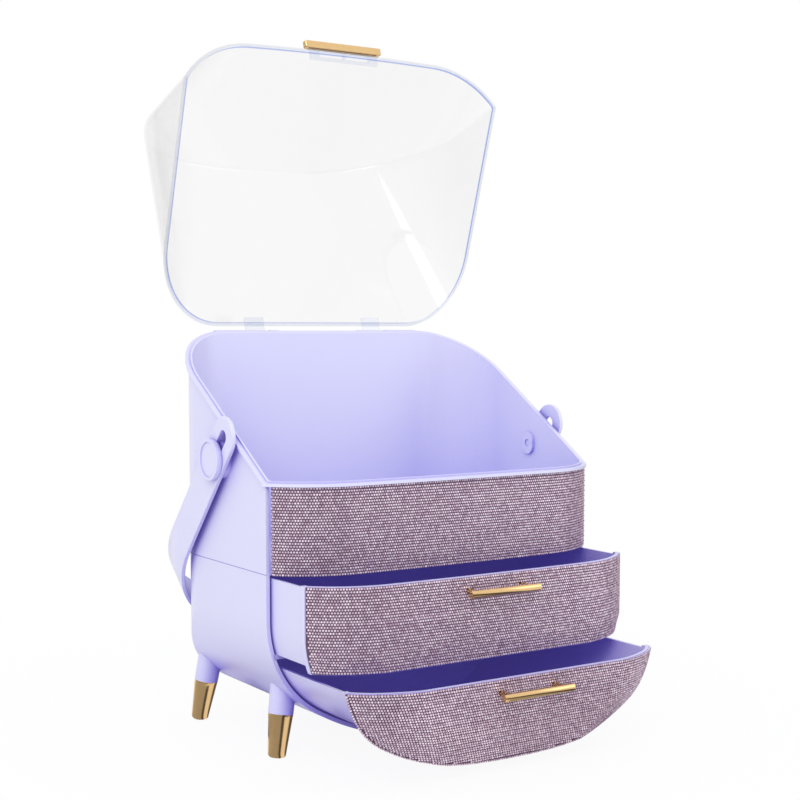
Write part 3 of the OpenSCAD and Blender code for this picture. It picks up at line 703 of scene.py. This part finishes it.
def rim_loop(inset):
    """The rim's outline from above, clockwise from the right end of its back edge."""
    half_w = HALF_W + LIP_W
    front_x, front_y = bow_centre(half_w, 0.0, FRONT_OUT + LIP_OUT)
    radius = FRONT_R - inset
    side = math.acos((half_w - inset - front_x) / radius)
    bow_y = BOW_R - FRONT_OUT - LIP_OUT
    toe = math.atan2(front_y - bow_y, front_x)
    right = arc_points(HALF_W - BACK_R, BODY_D - BACK_R, BACK_R + LIP_W - inset,
                       math.pi / 2, 0, ARC_STEPS)
    right += [(half_w - inset, y) for y in SIDE_Y]
    right += arc_points(front_x, front_y, radius, -side, toe, ARC_STEPS)
    right += arc_points(0, bow_y, BOW_R - inset, toe, -math.pi / 2, ARC_STEPS // 2)[1:]
    return right + [(-x, y) for x, y in reversed(right[:-1])]


def lifted(loop, rise):
    """A loop seen from above, laid on the sloping rim and raised."""
    return [(x, y, RIM_Z + max(y, 0.0) * RIM_RISE / BODY_D + rise) for x, y in loop]


def arch_points():
    """The arch's rounded crease: rings of points around its outline."""
    shoulder_x = HALF_W + LIP_W - LID_IN - SHOULDER_R
    half = math.asin(shoulder_x / (CROWN_R - SHOULDER_R))
    crown_z = SPRING_Z - math.sqrt((CROWN_R - SHOULDER_R) ** 2 - shoulder_x ** 2)
    start, end = math.pi / 2 - half, math.pi / 2 + half
    line = arc_points(shoulder_x, SPRING_Z, SHOULDER_R - ARCH_ROUND, 0, start, ARC_STEPS)
    line += arc_points(0, crown_z, CROWN_R - ARCH_ROUND, start, end, ARC_STEPS)[1:]
    line += [(-x, z) for x, z in reversed(line[:ARC_STEPS])]
    points = []
    for index, (x, z) in enumerate(line):
        before, after = line[max(index - 1, 0)], line[min(index + 1, len(line) - 1)]
        along = Vector((after[0] - before[0], 0, after[1] - before[1])).normalized()
        outward = Vector((along.z, 0, -along.x))
        for k in range(-ARCH_SIXTHS, ARCH_SIXTHS + 1):
            angle = k * math.pi / 6
            points.append(Vector((x, ARCH_Y + ARCH_ROUND, z))
                          + outward * ARCH_ROUND * math.cos(angle)
                          + Vector((0, 1, 0)) * ARCH_ROUND * math.sin(angle))
    return points


def dome_shell(materials):
    """The lid's clear dome: the hull of its rim and arch, left open below, with an even wall."""
    loop = rim_loop(LID_IN)
    low = lifted(loop, LID_LOW)
    cloud = bmesh.new()
    for point in low + lifted(loop, LID_BAND) + arch_points():
        cloud.verts.new(point)
    cloud.verts.ensure_lookup_table()
    rim = set(cloud.verts[:len(low)])
    made = bmesh.ops.convex_hull(cloud, input=cloud.verts[:], use_existing_faces=False)
    inside = {v for v in made["geom_interior"] if isinstance(v, bmesh.types.BMVert)}
    bmesh.ops.delete(cloud, geom=list(inside), context="VERTS")
    rim = {v for v in rim if v.is_valid}
    bottom = [f for f in cloud.faces if all(v in rim for v in f.verts)]
    bmesh.ops.delete(cloud, geom=bottom, context="FACES")
    bmesh.ops.recalc_face_normals(cloud, faces=cloud.faces[:])
    cloud.verts.index_update()
    points = [tuple(v.co) for v in cloud.verts]
    faces = [tuple(v.index for v in f.verts) for f in cloud.faces]
    cloud.free()
    dome = add_piece("lid_dome", points, faces, ["clear_lid"] * len(faces), materials)
    for polygon in dome.data.polygons:
        polygon.use_smooth = True
    wall = dome.modifiers.new("wall", "SOLIDIFY")
    wall.thickness, wall.offset, wall.use_even_offset = LID_T * MM, -1, True
    even = dome.modifiers.new("even_shading", "WEIGHTED_NORMAL")
    even.weight = SMOOTHING_WEIGHT
    return dome


def ring_part(loops):
    """A closed ring through loops of points of the same count."""
    count = len(loops[0])
    points = [point for loop in loops for point in loop]
    faces = []
    for k in range(len(loops)):
        a, b = k * count, (k + 1) % len(loops) * count
        for i in range(count):
            j = (i + 1) % count
            faces.append((a + i, a + j, b + j, b + i))
    return points, faces


def block_part(low, high):
    """A block between two corners."""
    points = [(x, y, z) for z in (low[2], high[2]) for y in (low[1], high[1])
              for x in (low[0], high[0])]
    return points, [(0, 2, 3, 1), (4, 5, 7, 6), (0, 1, 5, 4), (2, 6, 7, 3), (0, 4, 6, 2),
                    (1, 3, 7, 5)]


def knuckle_part(x0, x1):
    """A hinge knuckle: a tube along X."""
    turns = [2 * math.pi * k / KNUCKLE_SIDES for k in range(KNUCKLE_SIDES)]
    section = ((x0, KNUCKLE_BORE), (x0, KNUCKLE_R), (x1, KNUCKLE_R), (x1, KNUCKLE_BORE))
    return ring_part([[(x, HINGE_Y + r * math.cos(a), HINGE_Z + r * math.sin(a)) for a in turns]
                      for x, r in section])


def tab_part():
    """The tab under the grip bar, with its two windows."""
    wide, deep = len(TAB_X), len(TAB_Y)
    cells = {(i, j) for i in range(wide - 1) for j in range(deep - 1)} - TAB_WINDOWS
    points = [(x, y, z) for z in TAB_Z for y in TAB_Y for x in TAB_X]

    def at(i, j, k):
        return (k * deep + j) * wide + i

    faces = []
    for i, j in cells:
        corners = [(i, j), (i + 1, j), (i + 1, j + 1), (i, j + 1)]
        beside = [(i, j - 1), (i + 1, j), (i, j + 1), (i - 1, j)]
        faces.append(tuple(at(*corner, 0) for corner in (corners[0], *corners[:0:-1])))
        faces.append(tuple(at(*corner, 1) for corner in corners))
        for near, a, b in zip(beside, corners, corners[1:] + corners[:1]):
            if near not in cells:
                faces.append((at(*a, 0), at(*b, 0), at(*b, 1), at(*a, 1)))
    return points, faces


def lid_edges(materials):
    """The lid's thicker parts: its flange, knuckles and tab, in one piece."""
    leaf_z = lifted([(0, BODY_D + LIP_W)], LEAF_RISE)[0][2]
    flange = [lifted(rim_loop(inset), rise) for inset, rise in FLANGE]
    parts = [ring_part(flange), tab_part()]
    for side in (-1, 1):
        x0, x1 = sorted(side * x for x in KNUCKLE_X)
        parts.append(knuckle_part(x0, x1))
        parts.append(block_part((x0, BODY_D - LEAF_IN, leaf_z), (x1, HINGE_Y, leaf_z + LEAF_T)))
        parts.append(block_part((x0, HINGE_Y - HEEL_T, HINGE_Z + HEEL_Z),
                                (x1, HINGE_Y, leaf_z + LEAF_LAP)))
    points, faces = [], []
    for part_points, part_faces in parts:
        first = len(points)
        points.extend(part_points)
        faces.extend(tuple(first + k for k in face) for face in part_faces)
    lined = len(flange[0])
    kinds = ["edge_line"] * lined + ["clear_edge"] * (len(faces) - lined)
    edges = add_piece("lid_edges", points, faces, kinds, materials)
    outward = bmesh.new()
    outward.from_mesh(edges.data)
    bmesh.ops.recalc_face_normals(outward, faces=outward.faces[:])
    outward.to_mesh(edges.data)
    outward.free()
    return edges


def swing_up(piece):
    """Turns a piece of the shut lid about the hinge to where the photograph shows it."""
    hinge = Matrix.Translation((0, HINGE_Y * MM + EDGE_Y, HINGE_Z * MM))
    piece.data.transform(hinge @ Matrix.Rotation(-LID_OPEN, 4, "X") @ hinge.inverted())


# ---- Floor and light ----

# What polished metal mirrors around the horizon, by compass direction: lamps and dark walls
STUDIO_RING = [(0.0, 0.42), (0.19, 0.38), (0.22, 0.05), (0.265, 0.06), (0.30, 1.0), (0.41, 1.0),
               (0.455, 0.12), (0.56, 0.10), (0.60, 0.85), (0.78, 1.0), (0.86, 0.5), (0.99, 0.42)]
RING_TOP = (0.15, 0.45)                 # height over which the ring fades into white
FLOOR_HALF_M = 6.0
FLOOR_COLOR, FLOOR_ROUGH, FLOOR_SPECULAR = (0.95, 0.95, 0.95), 0.6, 0.1
FLOOR_SHADOW = 0.07        # how much of the lit floor shows near the object, over plain white
SHADOW_NEAR_M, SHADOW_FAR_M = 0.2, 0.55
FOOT_AT = (0.125, 0.0635, 0.0)          # the feet's distance from the middle, in metres
WORLD_LIGHT, WORLD_STRENGTH = (0.97, 0.97, 1.0, 1), 0.85
WHITE = (1, 1, 1, 1)
LAMP_TARGET, LAMP_SIZE_M = (0, 0, 0.2), 1.2
LAMPS = [("key_lamp", (-1.3, -1.3, 1.5), 14), ("fill_lamp", (1.7, -1.2, 0.9), 4)]


def seen_rays(tree):
    """The ray kinds, and 1 for those that show the background: camera, mirrored and through."""
    rays = add_node(tree, "LightPath").outputs
    first = add_node(tree, "Math", {0: rays["Is Camera Ray"], 1: rays["Is Glossy Ray"]},
                     operation="MAXIMUM")
    both = add_node(tree, "Math", {0: first.outputs[0], 1: rays["Is Transmission Ray"]},
                    operation="MAXIMUM")
    return rays, both.outputs[0]


def studio_shade(tree, direction):
    """The studio's walls and lamps as a colour, by the compass direction of a vector."""
    compass = add_node(tree, "TexGradient", {"Vector": direction}, gradient_type="RADIAL")
    return color_ramp(tree, [(at, (shade,) * 3) for at, shade in STUDIO_RING],
                      compass.outputs["Fac"])


def from_nearest_foot(tree, position):
    """The way from the nearest foot to a point of the floor, for what the feet mirror."""
    side = add_node(tree, "VectorMath", {0: position}, operation="SIGN")
    foot = add_node(tree, "VectorMath", {0: side.outputs[0], 1: FOOT_AT}, operation="MULTIPLY")
    way = add_node(tree, "VectorMath", {0: position, 1: foot.outputs[0]}, operation="SUBTRACT")
    return way.outputs[0]


def make_stage():
    """A white floor that keeps the object's shadow."""
    half = FLOOR_HALF_M
    mesh = bpy.data.meshes.new("floor")
    mesh.from_pydata([(-half, -half, 0), (half, -half, 0), (half, half, 0), (-half, half, 0)],
                     [], [(0, 1, 2, 3)])
    floor = bpy.data.objects.new("floor", mesh)
    bpy.context.scene.collection.objects.link(floor)
    material, shader = new_material("floor_white", FLOOR_COLOR, FLOOR_ROUGH)
    shader.inputs["Specular IOR Level"].default_value = FLOOR_SPECULAR
    tree = material.node_tree
    position = add_node(tree, "NewGeometry").outputs["Position"]
    away = add_node(tree, "VectorMath", {0: position}, operation="LENGTH")
    plain = add_node(tree, "MapRange", {
        "From Min": SHADOW_NEAR_M, "From Max": SHADOW_FAR_M,
        "To Min": 1 - FLOOR_SHADOW, "To Max": 1.0, "Value": away.outputs["Value"]})
    rays, seen = seen_rays(tree)
    share = add_node(tree, "Math", {0: plain.outputs["Result"], 1: seen}, operation="MULTIPLY")
    shade = studio_shade(tree, from_nearest_foot(tree, position))
    white = add_node(tree, "Emission", {
        "Color": mixed_color(tree, rays["Is Glossy Ray"], WHITE, shade)})
    mixed_shader(tree, share.outputs[0], shader, white, tree.nodes["Material Output"])
    floor.data.materials.append(material)


def make_world():
    """Soft light from all round, behind a background that is white but mirrored as a studio."""
    world = bpy.data.worlds.new("studio")
    bpy.context.scene.world = world
    world.use_nodes = True
    tree = world.node_tree
    tree.nodes.clear()
    light = add_node(tree, "Background", {"Color": WORLD_LIGHT, "Strength": WORLD_STRENGTH})
    way = add_node(tree, "TexCoord").outputs["Generated"]
    height = add_node(tree, "MapRange", {
        "From Min": RING_TOP[0], "From Max": RING_TOP[1],
        "Value": add_node(tree, "SeparateXYZ", {0: way}).outputs["Z"]})
    sky = mixed_color(tree, height.outputs["Result"], studio_shade(tree, way), WHITE)
    rays, seen = seen_rays(tree)
    white = add_node(tree, "Background", {
        "Color": mixed_color(tree, rays["Is Glossy Ray"], WHITE, sky), "Strength": 1.0})
    mixed_shader(tree, seen, light, white, add_node(tree, "OutputWorld"))


def add_lamp(name, place, power):
    """A square lamp that points at the object."""
    data = bpy.data.lights.new(name, "AREA")
    data.shape = "RECTANGLE"
    data.size = data.size_y = LAMP_SIZE_M
    data.energy = power
    lamp = bpy.data.objects.new(name, data)
    bpy.context.scene.collection.objects.link(lamp)
    lamp.location = place
    aim = Vector(LAMP_TARGET) - Vector(place)
    lamp.rotation_euler = aim.to_track_quat("-Z", "Y").to_euler()


# ---- The scene ----

make_camera()
materials = make_materials()
dress_nodes(materials)
soften_edges()
for sheet_name, z0, z1, flange, out, body, node in SHEETS:
    sheet = rhinestone_sheet(sheet_name, z0, z1, flange, out, materials)
    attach(sheet, body)
    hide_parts(node)
for lid_piece in (dome_shell(materials), lid_edges(materials)):
    swing_up(lid_piece)
    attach(lid_piece, "lid")
    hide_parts("lid")
make_stage()
make_world()
for lamp_name, lamp_place, lamp_power in LAMPS:
    add_lamp(lamp_name, lamp_place, lamp_power)
bpy.context.scene.view_settings.view_transform = "Standard"
